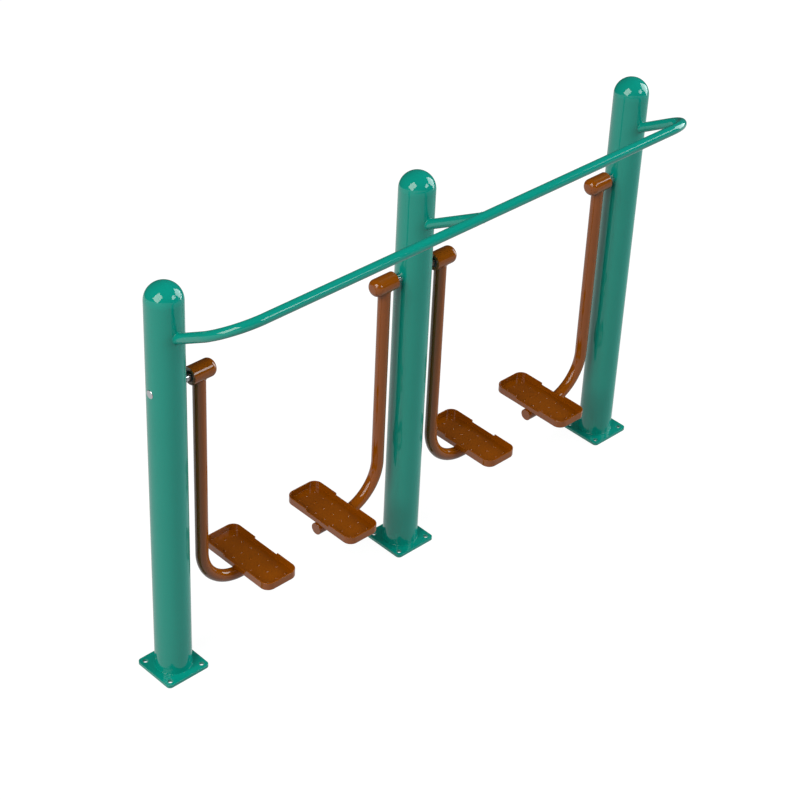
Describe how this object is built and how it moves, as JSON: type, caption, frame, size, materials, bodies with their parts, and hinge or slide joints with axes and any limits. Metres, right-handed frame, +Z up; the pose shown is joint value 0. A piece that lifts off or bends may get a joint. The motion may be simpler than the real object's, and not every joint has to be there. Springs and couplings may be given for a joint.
{
  "type": "outdoor air walker",
  "caption": "Free-standing air walker: posts on bolt-down plates, a bent forward handrail, and hub-hung swinging tube legs that end in studded tray pedals.",
  "frame": {"origin": "centre of the underside of the middle base plate, on the ground", "axes": "+X along the row of posts, +Y away from the handrail, which is the front and lies towards -Y, +Z up"},
  "size_m": [2.288, 0.4925, 1.533],
  "materials": {
    "teal_paint": "gloss",
    "brown_paint": "gloss",
    "bright_steel": "polished",
    "bearing_steel": "ground",
    "seal_rubber": "matte"
  },
  "bodies": {
    "frame": {"left_base_plate": "teal_paint", "left_post": "teal_paint", "left_post_dome": "teal_paint", "middle_base_plate": "teal_paint", "middle_post": "teal_paint", "middle_post_dome": "teal_paint", "right_base_plate": "teal_paint", "right_post": "teal_paint", "right_post_dome": "teal_paint", "handrail": "teal_paint", "handrail_strut": "teal_paint", "left_axle": "bright_steel", "middle_axle": "bright_steel", "right_axle": "bright_steel", "bearing_inner_rings_1": "bearing_steel", "bearing_inner_rings_2": "bearing_steel", "bearing_inner_rings_3": "bearing_steel", "bearing_inner_rings_4": "bearing_steel", "stop_sleeve_1": "bearing_steel", "stop_sleeve_2": "bearing_steel", "stop_sleeve_3": "bearing_steel", "stop_sleeve_4": "bearing_steel", "axle_washers": "bright_steel", "axle_nuts": "bright_steel"},
    "leg_1": {"hub_1": "brown_paint", "hub_cap_1": "brown_paint", "hub_seal_1": "seal_rubber", "bearing_outer_rings_1": "bearing_steel", "bearing_balls_1": "bearing_steel", "leg_tube_1": "brown_paint", "leg_plug_1": "brown_paint", "pedal_1": "brown_paint"},
    "leg_2": {"hub_2": "brown_paint", "hub_cap_2": "brown_paint", "hub_seal_2": "seal_rubber", "bearing_outer_rings_2": "bearing_steel", "bearing_balls_2": "bearing_steel", "leg_tube_2": "brown_paint", "leg_plug_2": "brown_paint", "pedal_2": "brown_paint"},
    "leg_3": {"hub_3": "brown_paint", "hub_cap_3": "brown_paint", "hub_seal_3": "seal_rubber", "bearing_outer_rings_3": "bearing_steel", "bearing_balls_3": "bearing_steel", "leg_tube_3": "brown_paint", "leg_plug_3": "brown_paint", "pedal_3": "brown_paint"},
    "leg_4": {"hub_4": "brown_paint", "hub_cap_4": "brown_paint", "hub_seal_4": "seal_rubber", "bearing_outer_rings_4": "bearing_steel", "bearing_balls_4": "bearing_steel", "leg_tube_4": "brown_paint", "leg_plug_4": "brown_paint", "pedal_4": "brown_paint"}
  },
  "joints": [
    {"name": "leg_1_swing", "type": "hinge", "parent": "frame", "child": "leg_1", "pos_m": [-0.9275, 0, 1.151], "axis": [1, 0, 0], "range_deg": [-60, 60]},
    {"name": "leg_2_swing", "type": "hinge", "parent": "frame", "child": "leg_2", "pos_m": [-0.1285, 0, 1.151], "axis": [1, 0, 0], "range_deg": [-60, 60]},
    {"name": "leg_3_swing", "type": "hinge", "parent": "frame", "child": "leg_3", "pos_m": [0.1285, 0, 1.151], "axis": [1, 0, 0], "range_deg": [-60, 60]},
    {"name": "leg_4_swing", "type": "hinge", "parent": "frame", "child": "leg_4", "pos_m": [0.9275, 0, 1.151], "axis": [1, 0, 0], "range_deg": [-60, 60]}
  ]
}
